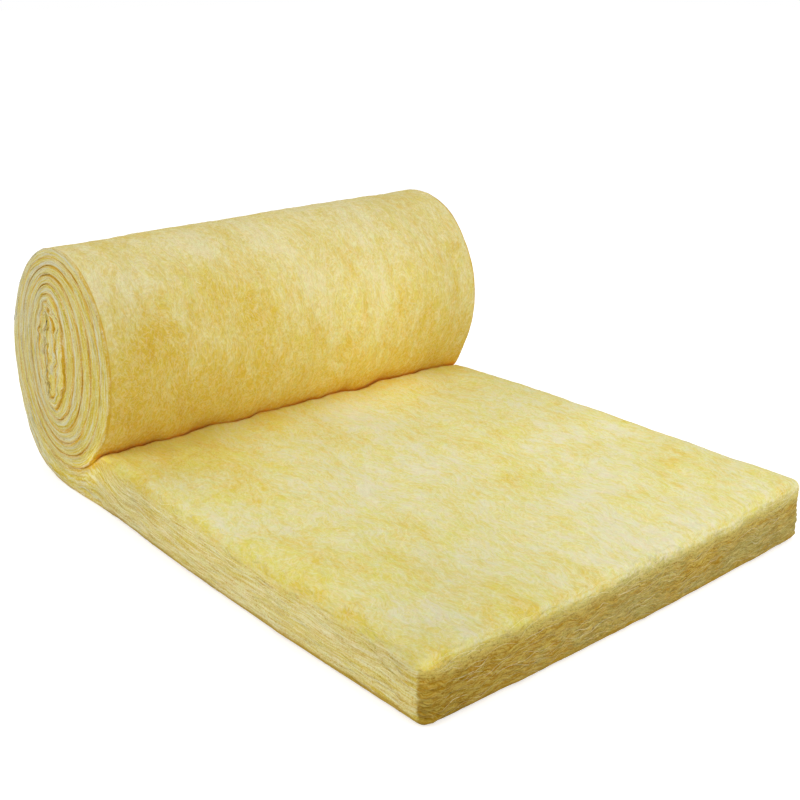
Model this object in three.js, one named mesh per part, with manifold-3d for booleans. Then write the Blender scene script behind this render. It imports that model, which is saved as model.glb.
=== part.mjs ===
// A roll of glass wool insulation blanket with its free end unrolled.
// It is one continuous blanket: wound on itself at the back, pressed flat where the roll
// stands on it, and lofted to its full thickness where it lies unrolled in front.
// Millimetres, +Z up, the roll's axis along Y, the unrolled end towards +X.
// The origin is the centre of the footprint, on the floor.
import * as THREE from "three";
import { mergeVertices } from "three/addons/utils/BufferGeometryUtils.js";
import Module from "manifold-3d";

// The blanket
const blanketWidth = 1200; // along the roll's axis, the width that the wool is cut to
const laidThickness = 145; // lofted, where the blanket lies unrolled
const pressedThickness = 64; // under the roll's own weight
const laidLength = 1390; // from the roll's axis to the cut end
const sideRadius = 18; // softness of the edges along both cut sides
const cutEndRadius = 24; // softness of the cut end's top and bottom edges

// The roll, a soft oval that leans a little towards the unrolled end
const rollHeight = 588; // from the pressed blanket to the top
const rollWidth = 522; // across the outer turn
const woundThickness = 32; // compressed, the mean from one turn to the next
const lean = 0.11; // sideways shift of the turns for each unit of height

// The heart of the roll, a flat and crumpled oval with no bore
const coreHeight = 290;
const coreWidth = 116;
const coreSetback = 58; // how far behind the roll's axis it ends up
const coreRise = 14; // how far above the roll's axis it ends up
const crumpleFolds = 5; // folds of the blanket's inner end
const crumpleReach = 26; // how far the folds swing to each side

// The heel, where the outer turn leaves the oval and runs down to the floor
const heelLift = 250; // height where it leaves the oval
const heelDrop = 150; // how far it keeps on straight down from there
const heelContact = 10; // where it is flat on the floor, behind the roll's axis
const heelSweep = 190; // how long the flat approach to that place is

// The crease where the roll meets the blanket, and the seam that shows the turns on both ends
const creaseDepth = 46; // along the roll's surface, from the top of the blanket
const creaseLip = 34; // stretch of the blanket's top that turns down into the crease
const seamWidth = 8; // at the mouth
const seamFloor = 1.5; // at the bottom
const seamDepth = 20; // into each end

// How finely the curves are divided
const stepsPerTurn = 40;
const stepsPerFold = 12;
const edgeSteps = 3;
const heelSteps = 20;

// The roll's oval, wound inwards: turn 0 is its lowest point, 0.25 its back, 0.5 its top.
// The outer turn is in view up to the crease, just before turn 1, and the rest is a seam.
const meanSpan = (rollWidth + rollHeight) / 4;
const meanCore = (coreWidth + coreHeight) / 4;
const firstTurn = 0.75; // where the oval has its named height and width
const turns = firstTurn + (meanSpan - meanCore) / woundThickness;

// How far in from the outer turn, 0 to 1 at the core.
function windingDepth(turn) {
  return (turn - firstTurn) / (turns - firstTurn);
}

function halfHeight(turn) {
  return THREE.MathUtils.lerp(rollHeight, coreHeight, windingDepth(turn)) / 2;
}

function halfWidth(turn) {
  return THREE.MathUtils.lerp(rollWidth, coreWidth, windingDepth(turn)) / 2;
}

const axisHeight = pressedThickness + halfHeight(1) - coreRise * windingDepth(1);

// Moves a point given from the middle of the oval at some turn to its place in the section.
function placeInRoll(across, up, turn) {
  const depth = windingDepth(turn);
  const height = up + coreRise * depth;
  return new THREE.Vector2(across - coreSetback * depth + lean * height, axisHeight + height);
}

function windingPoint(turn) {
  const angle = -Math.PI / 2 - 2 * Math.PI * turn;
  return placeInRoll(halfWidth(turn) * Math.cos(angle), halfHeight(turn) * Math.sin(angle), turn);
}

// A stretch of the winding in the section plane.
class WindingCurve extends THREE.Curve {
  constructor(fromTurn, toTurn) {
    super();
    this.fromTurn = fromTurn;
    this.toTurn = toTurn;
  }

  get steps() {
    return Math.ceil(Math.abs(this.toTurn - this.fromTurn) * stepsPerTurn);
  }

  getPoint(t) {
    return windingPoint(THREE.MathUtils.lerp(this.fromTurn, this.toTurn, t));
  }
}

// The folds in the core: they swing from side to side as they go down and die out at both ends.
class CrumpleCurve extends THREE.Curve {
  get steps() {
    return crumpleFolds * stepsPerFold;
  }

  getPoint(t) {
    const room = coreHeight / 2 - woundThickness;
    const swing = crumpleReach * Math.sin(Math.PI * t);
    return placeInRoll(
      swing * Math.sin(Math.PI * crumpleFolds * t),
      room * (1 - 2 * t),
      turns,
    );
  }
}

// The turn, between two others, at which the winding passes a given height.
function turnAtHeight(height, low, high) {
  const rising = windingPoint(high).y > windingPoint(low).y;
  for (let i = 0; i < 40; i += 1) {
    const middle = (low + high) / 2;
    if (windingPoint(middle).y < height === rising) low = middle;
    else high = middle;
  }
  return low;
}

const creaseTurn = turnAtHeight(laidThickness, 0.5, 1);
const creaseEndTurn = creaseTurn + creaseDepth / (Math.PI * rollHeight);
const heelTurn = turnAtHeight(heelLift, 0, 0.5);

// The section of the whole blanket: the floor, the cut end, the top, the crease and the roll.
function blanketSection() {
  const crease = windingPoint(creaseTurn);
  const outerTurn = new WindingCurve(creaseEndTurn, heelTurn);
  const creaseEnd = outerTurn.getPoint(0);
  const heel = outerTurn.getPoint(1);
  const cutEnd = laidLength - cutEndRadius;
  const section = new THREE.Shape();
  section.moveTo(cutEnd, 0);
  section.absarc(cutEnd, cutEndRadius, cutEndRadius, -Math.PI / 2, 0);
  section.absarc(cutEnd, laidThickness - cutEndRadius, cutEndRadius, 0, Math.PI / 2);
  section.lineTo(crease.x + creaseLip, laidThickness);
  section.quadraticCurveTo(crease.x + creaseLip / 4, laidThickness, creaseEnd.x, creaseEnd.y);
  outerTurn.getPoints(outerTurn.steps).forEach(({ x, y }) => section.lineTo(x, y));
  const run = new THREE.CubicBezierCurve(
    heel,
    new THREE.Vector2(heel.x, heel.y - heelDrop),
    new THREE.Vector2(-heelContact - heelSweep, 0),
    new THREE.Vector2(-heelContact, 0),
  );
  run.getPoints(heelSteps).forEach(({ x, y }) => section.lineTo(x, y));
  return section;
}

// A closed band of a given width along an open curve.
function bandAlong(curve, width) {
  const left = [];
  const right = [];
  for (let i = 0; i <= curve.steps; i += 1) {
    const point = curve.getPoint(i / curve.steps);
    const tangent = curve.getTangent(i / curve.steps);
    const side = new THREE.Vector2(-tangent.y, tangent.x).multiplyScalar(width / 2);
    left.push(point.clone().add(side));
    right.unshift(point.clone().sub(side));
  }
  return new THREE.Shape([...left, ...right]);
}

// A band pushed into a face: full width at its mouth and narrower at its bottom.
function seamCutter(curve) {
  const taper = (seamWidth - seamFloor) / 2;
  return new THREE.ExtrudeGeometry(bandAlong(curve, seamWidth), {
    depth: seamDepth,
    bevelThickness: seamDepth,
    bevelSize: taper,
    bevelOffset: -taper,
    bevelSegments: 1,
    curveSegments: 1,
  });
}

const wasm = await Module();
wasm.setup();

function toSolid(geometry) {
  const bare = geometry.clone();
  bare.deleteAttribute("normal");
  bare.deleteAttribute("uv");
  const merged = mergeVertices(bare);
  return new wasm.Manifold(
    new wasm.Mesh({
      numProp: 3,
      vertProperties: merged.attributes.position.array,
      triVerts: new Uint32Array(merged.index.array),
    }),
  );
}

function toGeometry(solid) {
  const mesh = solid.getMesh();
  const geometry = new THREE.BufferGeometry();
  geometry.setAttribute("position", new THREE.BufferAttribute(mesh.vertProperties, 3));
  geometry.setIndex(new THREE.BufferAttribute(mesh.triVerts, 1));
  return geometry;
}

// The blanket along its width, with soft edges at both cut sides.
function blanketBody() {
  return new THREE.ExtrudeGeometry(blanketSection(), {
    depth: blanketWidth - 2 * sideRadius,
    bevelThickness: sideRadius,
    bevelSize: sideRadius,
    bevelOffset: -sideRadius,
    bevelSegments: edgeSteps,
    curveSegments: 8,
  });
}

// The blanket with the seam cut into both ends of the roll.
function glassWoolBlanket() {
  const nearEnd = -sideRadius;
  const farEnd = nearEnd + blanketWidth;
  let solid = toSolid(blanketBody());
  [new WindingCurve(creaseTurn, turns), new CrumpleCurve()].forEach((curve) => {
    const cutter = seamCutter(curve);
    solid = solid.subtract(toSolid(cutter.clone().translate(0, 0, nearEnd - seamDepth)));
    solid = solid.subtract(toSolid(cutter.clone().translate(0, 0, farEnd)));
  });
  const geometry = toGeometry(solid);
  geometry.computeBoundingBox();
  const centre = geometry.boundingBox.getCenter(new THREE.Vector3());
  geometry.translate(-centre.x, 0, -centre.z);
  geometry.computeVertexNormals();
  return geometry;
}

const glassWool = new THREE.MeshStandardMaterial({
  name: "glass_wool",
  color: 0xe3cf7d,
  roughness: 0.95,
  metalness: 0,
});

const blanket = new THREE.Mesh(glassWoolBlanket(), glassWool);
blanket.name = "glass_wool_blanket";
blanket.rotation.x = Math.PI / 2; // the section stands upright and its length runs along Y

const insulationRoll = new THREE.Group();
insulationRoll.add(blanket);

export default insulationRoll;
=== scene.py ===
import math

import bmesh
import bpy
import numpy as np
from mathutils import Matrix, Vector, noise
from mathutils.bvhtree import BVHTree


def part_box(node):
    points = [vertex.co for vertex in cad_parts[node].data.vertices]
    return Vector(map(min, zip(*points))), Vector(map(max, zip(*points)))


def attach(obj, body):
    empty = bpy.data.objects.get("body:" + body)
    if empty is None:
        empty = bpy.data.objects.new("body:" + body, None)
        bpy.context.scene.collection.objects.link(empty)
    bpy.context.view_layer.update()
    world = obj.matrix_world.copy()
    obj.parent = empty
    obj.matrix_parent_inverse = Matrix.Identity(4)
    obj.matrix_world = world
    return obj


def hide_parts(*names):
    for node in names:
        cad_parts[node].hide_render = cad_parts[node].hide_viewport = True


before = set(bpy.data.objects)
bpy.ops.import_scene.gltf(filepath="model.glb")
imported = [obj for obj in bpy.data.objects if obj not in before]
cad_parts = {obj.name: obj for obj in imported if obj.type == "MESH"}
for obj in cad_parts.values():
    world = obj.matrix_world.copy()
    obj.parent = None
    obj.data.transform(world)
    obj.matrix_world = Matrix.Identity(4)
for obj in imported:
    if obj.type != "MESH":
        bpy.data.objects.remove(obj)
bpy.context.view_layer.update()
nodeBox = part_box("glass_wool_blanket")
print("frame loaded", [round(v, 4) for v in nodeBox[1]])

# The blanket as it is sold, and how it is wound. Lengths in metres.
blanket = {
    "width": 1.2,
    "thickness": 0.145,
    "pressed": 0.064,
    "laidLength": 1.39,
    "nearRadius": 0.036,  # soft upper edge, at -Y and at the cut end
    "farRadius": 0.02,
    "bottomRadius": 0.014,
    "endRadius": 0.022,  # upright edges at the cut end
    "alongStep": 0.0062,
    "acrossStep": 0.0105,
    "endColumns": (0, 0.004, 0.009, 0.016, 0.024, 0.032),  # closer columns at the cut end
    "layerRows": 4,  # finer rows on the lofted cut faces, from each coarse one
}
roll = {
    "height": 0.588,
    "width": 0.522,
    "woundThickness": 0.032,
    "lean": 0.11,
    "farLean": 0.02,
    "coreHeight": 0.29,  # the core is an upright oval, set back from the roll's axis
    "coreWidth": 0.116,
    "coreSetback": 0.058,
    "coreRise": 0.014,
    "heartTurns": 2.48,  # further turns inside the core, where the tail is pressed flat
    "heartGap": 0.0012,
    "stepsPerTurn": 120,
    "seamDepth": 0.0052,  # into each end, between two turns
    "seamSpread": 0.011,  # in the lofted thickness, at each side of the seam
    "seamGape": 0.75,  # the share of it that is open on average,
    "seamSwing": 0.4,  # how much more at the front than at the back,
    "leastGape": 0.15,  # and the least anywhere
    "frontTurn": 0.8,  # where the roll's front is, in turns
}
heel = {
    "lift": 0.25,  # height at which the heel joins the round of the roll
    "drop": 0.15,  # how straight it comes up to there
    "contact": 0.01,  # how far behind the axis it leaves the floor
    "sweep": 0.19,  # how far it runs on before it rises
}
crease = {
    "depth": 0.036,  # how far the laid top dives in under the roll
    "lip": 0.016,
    "lipStep": 0.004,
    "wave": 0.011,  # how far the crease wanders,
    "reach": 0.05,  # and how much of the wool beside it follows
}
curveSteps = 80

firstTurn = 0.75
meanSpan = (roll["width"] + roll["height"]) / 4
meanCore = (roll["coreWidth"] + roll["coreHeight"]) / 4
coreTurn = firstTurn + (meanSpan - meanCore) / roll["woundThickness"]
shiftX = nodeBox[1][0] - blanket["laidLength"]


def windingDepth(turn):
    return (turn - firstTurn) / (coreTurn - firstTurn)


def halfHeight(turn):
    depth = windingDepth(turn)
    return (roll["height"] + (roll["coreHeight"] - roll["height"]) * depth) / 2


def halfWidth(turn):
    depth = windingDepth(turn)
    width = roll["width"] + (roll["coreWidth"] - roll["width"]) * depth
    return np.maximum(width, roll["heartGap"]) / 2


axisHeight = blanket["pressed"] + halfHeight(1) - roll["coreRise"] * windingDepth(1)


# Turn 0 is the lowest point of the winding, 0.25 its back, 0.5 its top, and it winds inwards.
def windingPoint(turn):
    turn = np.asarray(turn, dtype=float)
    angle = -math.pi / 2 - 2 * math.pi * turn
    depth = windingDepth(turn)
    up = halfHeight(turn) * np.sin(angle) + roll["coreRise"] * depth
    across = halfWidth(turn) * np.cos(angle) - roll["coreSetback"] * depth + roll["lean"] * up
    return np.stack([across + shiftX, axisHeight + up], axis=-1)


def turnAtHeight(height, low, high):
    rising = windingPoint(high)[1] > windingPoint(low)[1]
    for _ in range(40):
        middle = (low + high) / 2
        if (windingPoint(middle)[1] < height) == rising:
            low = middle
        else:
            high = middle
    return low


creaseTurn = turnAtHeight(blanket["thickness"], 0.5, 1)
creaseEndTurn = creaseTurn + crease["depth"] / (math.pi * roll["height"])
heelTurn = turnAtHeight(heel["lift"], 0, 0.5)


def bezier(points, t):
    a, b, c, d = (np.asarray(p, dtype=float) for p in points)
    t = np.asarray(t)[:, None]
    return (1 - t) ** 3 * a + 3 * (1 - t) ** 2 * t * b + 3 * (1 - t) * t ** 2 * c + t ** 3 * d


def pathLengths(points):
    steps = np.linalg.norm(np.diff(points, axis=0), axis=1)
    return np.concatenate([[0], np.cumsum(steps)])


def alongPath(points, distances):
    lengths = pathLengths(points)
    return np.stack([np.interp(distances, lengths, points[:, i]) for i in range(2)], axis=-1)


def noiseAtPoint(x, y, z):
    return noise.noise(Vector((x, y, z)))


def clipped(value):
    return min(1, max(0, value))


def smooth(value, low=0.0, high=1.0):
    share = np.clip((value - low) / (high - low), 0, 1)
    return share * share * (3 - 2 * share)


# Where the blanket's two faces run in the section, column by column from the cut end inwards.
# The outer face lies on the floor and shows outside the roll; the inner face is the laid top.
def sectionColumns():
    thickness = blanket["thickness"]
    creasePoint = windingPoint(creaseTurn)
    creaseEnd = windingPoint(creaseEndTurn)
    cutX = nodeBox[1][0]
    lipX = creasePoint[0] + crease["lip"]
    laidCount = round((cutX - lipX) / blanket["alongStep"])
    *edge, edgeEnd = blanket["endColumns"]
    laidX = cutX - np.concatenate([edge, np.linspace(edgeEnd, cutX - lipX, laidCount)])
    # over the lip the top dives along the roll's own skin
    control = [creasePoint[0] + crease["lip"] / 6, thickness]
    curve = bezier([creaseEnd, creaseEnd * 0.3 + np.array(control) * 0.7, control,
                    [lipX, thickness]], np.linspace(1, 0, curveSteps))
    lipRun = pathLengths(curve)
    lipCount = round(lipRun[-1] / crease["lipStep"])
    lip = alongPath(curve, np.linspace(0, lipRun[-1], lipCount + 1)[1:])
    laidInner = np.stack([laidX, np.full(len(laidX), thickness)], -1)
    laidOuter = np.stack([laidX, np.zeros(len(laidX))], -1)
    floorX = np.linspace(lipX, creaseEnd[0], lipCount + 1)[1:]
    laidInner = np.concatenate([laidInner, lip])
    laidOuter = np.concatenate([laidOuter, np.stack([floorX, np.zeros(lipCount)], -1)])

    lastTurn = coreTurn + roll["heartTurns"] - 1
    count = math.floor((lastTurn - creaseEndTurn + 1) * roll["stepsPerTurn"])
    turn = creaseEndTurn - 1 + np.arange(1, count + 1) / roll["stepsPerTurn"]
    woundInner = windingPoint(turn + 1)
    woundOuter = windingPoint(turn)
    heelPoint = windingPoint(heelTurn)
    floorPoint = np.array([shiftX - heel["contact"], 0])
    rise = bezier([floorPoint, floorPoint - [heel["sweep"], 0],
                   heelPoint - [0, heel["drop"]], heelPoint], np.linspace(0, 1, curveSteps))
    run = np.concatenate([[[creaseEnd[0], 0]], rise])
    below = turn <= heelTurn
    innerRun = pathLengths(np.concatenate([[creaseEnd], woundInner[below]]))[1:]
    share = innerRun / innerRun[-1]
    woundOuter[below] = alongPath(run, share * pathLengths(run)[-1])
    outer = np.concatenate([laidOuter, woundOuter])
    inner = np.concatenate([laidInner, woundInner])
    along = pathLengths((outer + inner) / 2)
    return outer, inner, along, len(laidOuter) - 1


outerFace, innerFace, alongAt, nipColumn = sectionColumns()
perTurn = roll["stepsPerTurn"]
creaseColumn = nipColumn + perTurn  # where the outer face comes back to the crease
onFloor = 1e-6
floorColumns = int(np.sum(outerFace[:, 1] < onFloor))
nipAlong = float(alongAt[nipColumn])  # the crease's deepest place, on the laid top
creaseAlong = float(alongAt[creaseColumn])  # and on the roll's skin
loftEnds = (nipAlong - 0.16, nipAlong + 0.06)  # from where to where the blanket loses its loft,
edgeEnds = (nipAlong - 0.16, nipAlong + 0.14)  # and its soft edges
coreAlong = float(alongAt[nipColumn + round((coreTurn - 0.6 - creaseEndTurn + 1) * perTurn)])
print("section", len(alongAt), "columns,", nipColumn, "laid, blanket length",
      round(float(alongAt[-1]), 2))

# The flat blanket is a soft box: along is the distance from its cut end, across runs over its
# width and depth from the face that lies on the floor. The box is built flat, and then rolled.
thickness = blanket["thickness"]
halfBlanket = blanket["width"] / 2
sideGaps = [0, 0.0018, 0.0038, 0.0060, 0.018, 0.036]  # closer lines at both side edges
depthShares = [0, 0.045, 0.12, 0.21, 0.305, 0.4, 0.5, 0.6, 0.695, 0.79, 0.88, 0.955, 1]
wallLines = 4  # lines on each wall of the seam
rimLines = len(sideGaps) + 1
endLines = 7


def acrossLines():
    inner = halfBlanket - sideGaps[-1]
    count = round(2 * inner / blanket["acrossStep"])
    middle = np.linspace(-inner, inner, count + 1)[1:-1]
    edge = np.array(sideGaps)
    return np.concatenate([edge - halfBlanket, middle, (halfBlanket - edge)[::-1]])


def addPatch(bm, first, second, place):
    grid = bmesh.ops.create_grid(bm, x_segments=len(first) - 1, y_segments=len(second) - 1, size=1)
    for vert in grid["verts"]:
        i = round((vert.co.x + 1) / 2 * (len(first) - 1))
        j = round((vert.co.y + 1) / 2 * (len(second) - 1))
        vert.co = place(first[i], second[j])


# Places on the face at one depth.
def onFace(depth):
    return lambda along, across: (along, across, depth)


def flatBlanket(bm):
    across = acrossLines()
    depth = thickness * np.array(depthShares)
    walls = [across[:wallLines], across[-wallLines:]]
    rims = [across[:rimLines], across[-rimLines:]]
    under = floorColumns - 3
    # the lower and outer face, left open in the middle of the floor side
    for rim in rims:
        addPatch(bm, alongAt[:under + 1], rim, onFace(0))
    inside = across[rimLines - 1:1 - rimLines]
    addPatch(bm, alongAt[:endLines], inside, onFace(0))
    addPatch(bm, alongAt[under:creaseColumn + 1], across, onFace(0))
    # the laid top
    addPatch(bm, alongAt[:nipColumn + 1], across, onFace(thickness))
    # the walls of the seam between the turns
    for wall in walls:
        addPatch(bm, alongAt[creaseColumn:], wall, onFace(0))
        addPatch(bm, alongAt[nipColumn:], wall, onFace(thickness))
    # both cut sides and the cut end
    for side in (-halfBlanket, halfBlanket):
        addPatch(bm, alongAt, depth, lambda a, d, side=side: (a, side, d))
    addPatch(bm, across, depth, lambda y, d: (0, y, d))
    bmesh.ops.remove_doubles(bm, verts=bm.verts, dist=1e-5)
    middle = halfBlanket - 0.03
    loose = [e for e in bm.edges if e.is_boundary and abs(e.verts[0].co.y) < middle
             and e.verts[0].co.z == 0 and e.verts[1].co.z == 0]
    print("flat blanket", len(bm.verts), "vertices", len(bm.faces), "faces")
    return loose


def refineCutFaces(bm):
    # finer rows through the thickness where the blanket is lofted
    limit = alongAt[nipColumn + 6]
    widestRow = 0.01
    tall = []
    for edge in bm.edges:
        a, b = edge.verts
        if abs(a.co.z - b.co.z) > widestRow and max(a.co.x, b.co.x) < limit:
            tall.append(edge)
    bmesh.ops.subdivide_edges(bm, edges=tall, cuts=blanket["layerRows"] - 1, use_grid_fill=True)
    print("refined", len(bm.verts), "vertices")


# From 1 at the roll's front to -1 at its back.
def frontness(along):
    turn = np.interp(along, alongAt, turnAt)
    return np.cos(2 * math.pi * (turn - roll["frontTurn"]))


# The flat blanket with its edges rounded: where a point lies within the rounding radii of the
# end, side and face edges, it is drawn in on to their arc.
def softened(place):
    along, across, depth = place[:, 0], place[:, 1], place[:, 2]
    wound = smooth(along, *edgeEnds)
    upper = depth > thickness / 2
    topRadius = np.where(across > halfBlanket - 0.1, blanket["farRadius"], blanket["nearRadius"])
    loftRadius = np.where(upper, topRadius, blanket["bottomRadius"])
    # the seams gape at the roll's front, and are nearly shut at its back
    opened = roll["seamGape"] + roll["seamSwing"] * frontness(along)
    for scale, amount in ((2.3, 0.5), (17, 0.6)):
        opened += amount * np.array([noiseAtPoint(a * scale, math.copysign(4, y), 0.5)
                                     for a, y in zip(along, across)])
    opened = np.maximum(opened, roll["leastGape"])
    faceRadius = loftRadius + (roll["seamSpread"] * opened - loftRadius) * wound
    sideRadius = loftRadius + (roll["seamDepth"] - loftRadius) * wound
    faceGap = np.where(upper, thickness - depth, depth)
    sideGap = halfBlanket - np.abs(across)
    share = np.stack([
        np.clip(1 - along / blanket["endRadius"], 0, 1),
        np.clip(1 - sideGap / sideRadius, 0, 1),
        np.clip(1 - faceGap / faceRadius, 0, 1),
    ], axis=-1)
    length = np.linalg.norm(share, axis=1, keepdims=True)
    largest = share.max(axis=1, keepdims=True)
    share = np.where(length > 1, share / np.maximum(length, 1e-9) * np.maximum(largest, 1e-9), share)
    newAlong = np.where(share[:, 0] > 0, blanket["endRadius"] * (1 - share[:, 0]), along)
    newSide = np.where(share[:, 1] > 0, sideRadius * (1 - share[:, 1]), sideGap)
    newFace = np.where(share[:, 2] > 0, faceRadius * (1 - share[:, 2]), faceGap)
    return np.stack([newAlong, np.sign(across) * (halfBlanket - newSide),
                     np.where(upper, thickness - newFace, newFace)], axis=-1)


# How the wound blanket differs from a perfect winding.
slack = {
    "sideBow": 0.013,  # the laid part bows out at the near side,
    "farBow": 0.006,  # at the far side
    "endBow": 0.014,  # and at the cut end
    "bowRun": 1.22,  # the length of the bow, and how evenly round it is
    "bowEvenness": 0.8,
    "farLoft": 0.007,  # it also stands a little higher along the far side
    "coreFold": 0.012,
    "coreRipple": 0.003,
    "coreSquiggle": 0.009,
    "crumpledTurns": 1.9,  # how many turns at the core are crumpled
    "coreSeed": 1,
}
noise.seed_set(slack["coreSeed"])  # noise_vector is drawn from it
turnAt = creaseEndTurn - 1 + np.maximum(np.arange(len(alongAt)) - nipColumn, 0) / perTurn
creasePlace = windingPoint(creaseTurn)


# The core is crumpled: the deeper in the winding, the more the section wanders.
def crumpled(section, turn):
    amount = np.clip((turn - coreTurn) / slack["crumpledTurns"] + 1, 0, 1) ** 1.5
    moved = section.copy()
    for i in np.nonzero(amount > 0)[0]:
        x, z = section[i]
        shift = slack["coreFold"] * noise.noise_vector(Vector((x * 23, z * 19, 3.7)))
        shift += slack["coreRipple"] * noise.noise_vector(Vector((x * 52, z * 44, 9.1)))
        shift.x += slack["coreSquiggle"] * noiseAtPoint(x * 9, z * 36, 1.3)
        shift.y += slack["coreSquiggle"] * noiseAtPoint(x * 40, z * 9, 6.2)
        moved[i] += amount[i] * np.array(shift[:2])
    return moved


def rolledUp(place):
    share = place[:, 2] / thickness
    outer = np.stack([np.interp(place[:, 0], alongAt, outerFace[:, i]) for i in range(2)], -1)
    inner = np.stack([np.interp(place[:, 0], alongAt, innerFace[:, i]) for i in range(2)], -1)
    turn = np.interp(place[:, 0], alongAt, turnAt) + share
    section = crumpled(outer + (inner - outer) * share[:, None], turn)
    x, y, z = section[:, 0], place[:, 1], section[:, 1]
    # the far end of the roll stands more upright than the near one
    far = (y + halfBlanket) / blanket["width"]
    wound = smooth(place[:, 0], nipAlong - 0.3, nipAlong)
    x = x + wound * far * (roll["farLean"] - roll["lean"]) * (z - axisHeight)
    # the crease wanders
    reach = np.hypot(x - creasePlace[0], z - creasePlace[1]) / crease["reach"]
    near = np.exp(-reach ** 2)
    for i in np.nonzero(near > 0.01)[0]:
        swing = sum(amount * noiseAtPoint(y[i] * scale, 2.2, 0.4)
                    for scale, amount in ((7.5, 1), (19, 0.7), (52, 0.35)))
        x[i] += near[i] * crease["wave"] * swing
        z[i] -= near[i] * 0.4 * crease["wave"] * swing * (1 if z[i] > 0.02 else 0)
    # the laid part bows outwards between its corners
    laid = 1 - smooth(place[:, 0], nipAlong - 0.35, nipAlong - 0.02)
    evenness = slack["bowEvenness"]
    bow = np.sin(math.pi * np.clip(place[:, 0] / slack["bowRun"], 0, 1)) ** evenness
    side = np.clip(np.abs(y) / halfBlanket, 0, 1) ** 4
    y = y + laid * bow * side * np.where(y < 0, -slack["sideBow"], slack["farBow"])
    endBow = np.cos(math.pi / 2 * np.clip(place[:, 1] / halfBlanket, -1, 1)) ** evenness
    x = x + (1 - smooth(place[:, 0], 0, 0.35)) * slack["endBow"] * endBow
    z = z + laid * slack["farLoft"] * share * smooth(place[:, 1], -0.1, 0.55)
    return np.stack([x, y, z], axis=-1)


laidRim = 0.03  # how far in from the edge the cut faces fade into the skin,
woundRim = 0.0065  # and where the blanket is wound
seamShut = 5e-6  # the walls of the seam are merged where they meet


def addObject(name, data):
    item = bpy.data.objects.new(name, data)
    bpy.context.collection.objects.link(item)
    return item


def addPiece(name, bm):
    mesh = bpy.data.meshes.new(name)
    bm.to_mesh(mesh)
    bm.free()
    return addObject(name, mesh)


def buildBlanket():
    bm = bmesh.new()
    loose = flatBlanket(bm)
    bmesh.ops.holes_fill(bm, edges=loose, sides=0)
    refineCutFaces(bm)
    bm.verts.ensure_lookup_table()
    flat = np.array([v.co for v in bm.verts])
    place = softened(flat)
    rolled = rolledUp(place)
    placeLayer = bm.verts.layers.float_vector.new("laidPlace")
    cutLayer = bm.verts.layers.float.new("cutFace")
    seamLayer = bm.verts.layers.float.new("seam")
    for vert, p, q, f in zip(bm.verts, place, rolled, flat):
        vert[placeLayer] = p
        # the masks of the cut faces and of the walls of the seam
        sideGap = halfBlanket - abs(f[1])
        rim = laidRim if f[0] < nipAlong - 0.08 else woundRim
        vert[cutLayer] = max(0, 1 - min(sideGap, f[0]) / rim)
        inside = f[0] > alongAt[creaseColumn] or (f[0] > nipAlong and f[2] > thickness / 2)
        if inside:
            vert[seamLayer] = min(1, sideGap / roll["seamDepth"])
        vert.co = q
    bmesh.ops.remove_doubles(bm, verts=bm.verts, dist=seamShut)
    loops = [e for e in bm.edges if e.is_boundary]
    print("open edges before the hearts are closed", len(loops))
    bmesh.ops.holes_fill(bm, edges=loops, sides=0)
    bmesh.ops.recalc_face_normals(bm, faces=bm.faces)
    bmesh.ops.triangulate(bm, faces=[f for f in bm.faces if len(f.verts) > 4])
    print("rolled", len(bm.verts), "vertices", len(bm.faces), "faces, open",
          sum(e.is_boundary for e in bm.edges), "bad", sum(not e.is_manifold for e in bm.edges))
    piece = addPiece("wool_blanket", bm)
    piece.data.shade_smooth()
    return piece


# Loft, lumps and layers, as small moves along the normal that follow the flat blanket's places.
relief = {
    # swell, lumps and tufts: how high, and how fine along, across and through the blanket
    "soft": ((0.004, 3.1, 3.1, 1.86), (0.0028, 8, 13, 14), (0.0012, 26, 52, 50)),
    "shear": 0.15,  # those of the laid top run askew
    "wrinkle": 0.0012,  # upright folds on the roll's skin
    "edgeDent": 0.0035,
    "pinch": 0.0055,
    "pinchReach": 0.011,
    "layer": 0.0011,  # ridges of the layers on the cut faces,
    "cornerLayer": 0.008,  # which stand out more by the cut end's corners,
    "cornerReach": 0.07,
    "farCorner": 0.3,  # the far corner less than the near one,
    "sideShare": 0.45,  # and less on the long sides than at the cut end
    "layerPitch": 0.0125,
    "layerStep": 0.0012,  # how far single layers stand out
    "woundLayers": 3.4,
    "woundLayer": 0.0020,
    "turnStep": 0.0028,  # how far turns stand out of the ends, or in
    "coreFold": 0.0058,
}
# where a pinch runs in from the cut end over the laid top: along and across, from and to
pinches = [((-0.01, -0.132), (0.10, -0.094)), ((-0.01, 0.262), (0.07, 0.20))]
# How far the layers wander at the sides, and how much further at the cut end; how fine along,
# across and through the blanket; and where in the noise they start.
layerWaves = ((0.005, 0.010, 8, 9, 7, 5), (0.0022, 0.0040, 27, 27, 30, 9))
endReach = 0.12
coreFade = 0.9  # in turns


def pinchAt(along, across, depth):
    if along > endReach or depth < 0.6 * thickness:
        return 0
    total = 0
    for first, last in pinches:
        run = (last[0] - first[0], last[1] - first[1])
        offset = (along - first[0], across - first[1])
        share = clipped((offset[0] * run[0] + offset[1] * run[1]) / (run[0] ** 2 + run[1] ** 2))
        gap = math.hypot(offset[0] - share * run[0], offset[1] - share * run[1])
        total += (1 - 0.7 * share) * math.exp(-(gap / relief["pinchReach"]) ** 2)
    return min(1, total)


def layerWave(along, across, depth):
    end = 1 - min(1, along / endReach)
    total = 0
    for side, more, *scale, start in layerWaves:
        wave = noiseAtPoint(along * scale[0], across * scale[1], depth * scale[2] + start)
        total += (side + more * end) * wave
    return total


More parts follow.
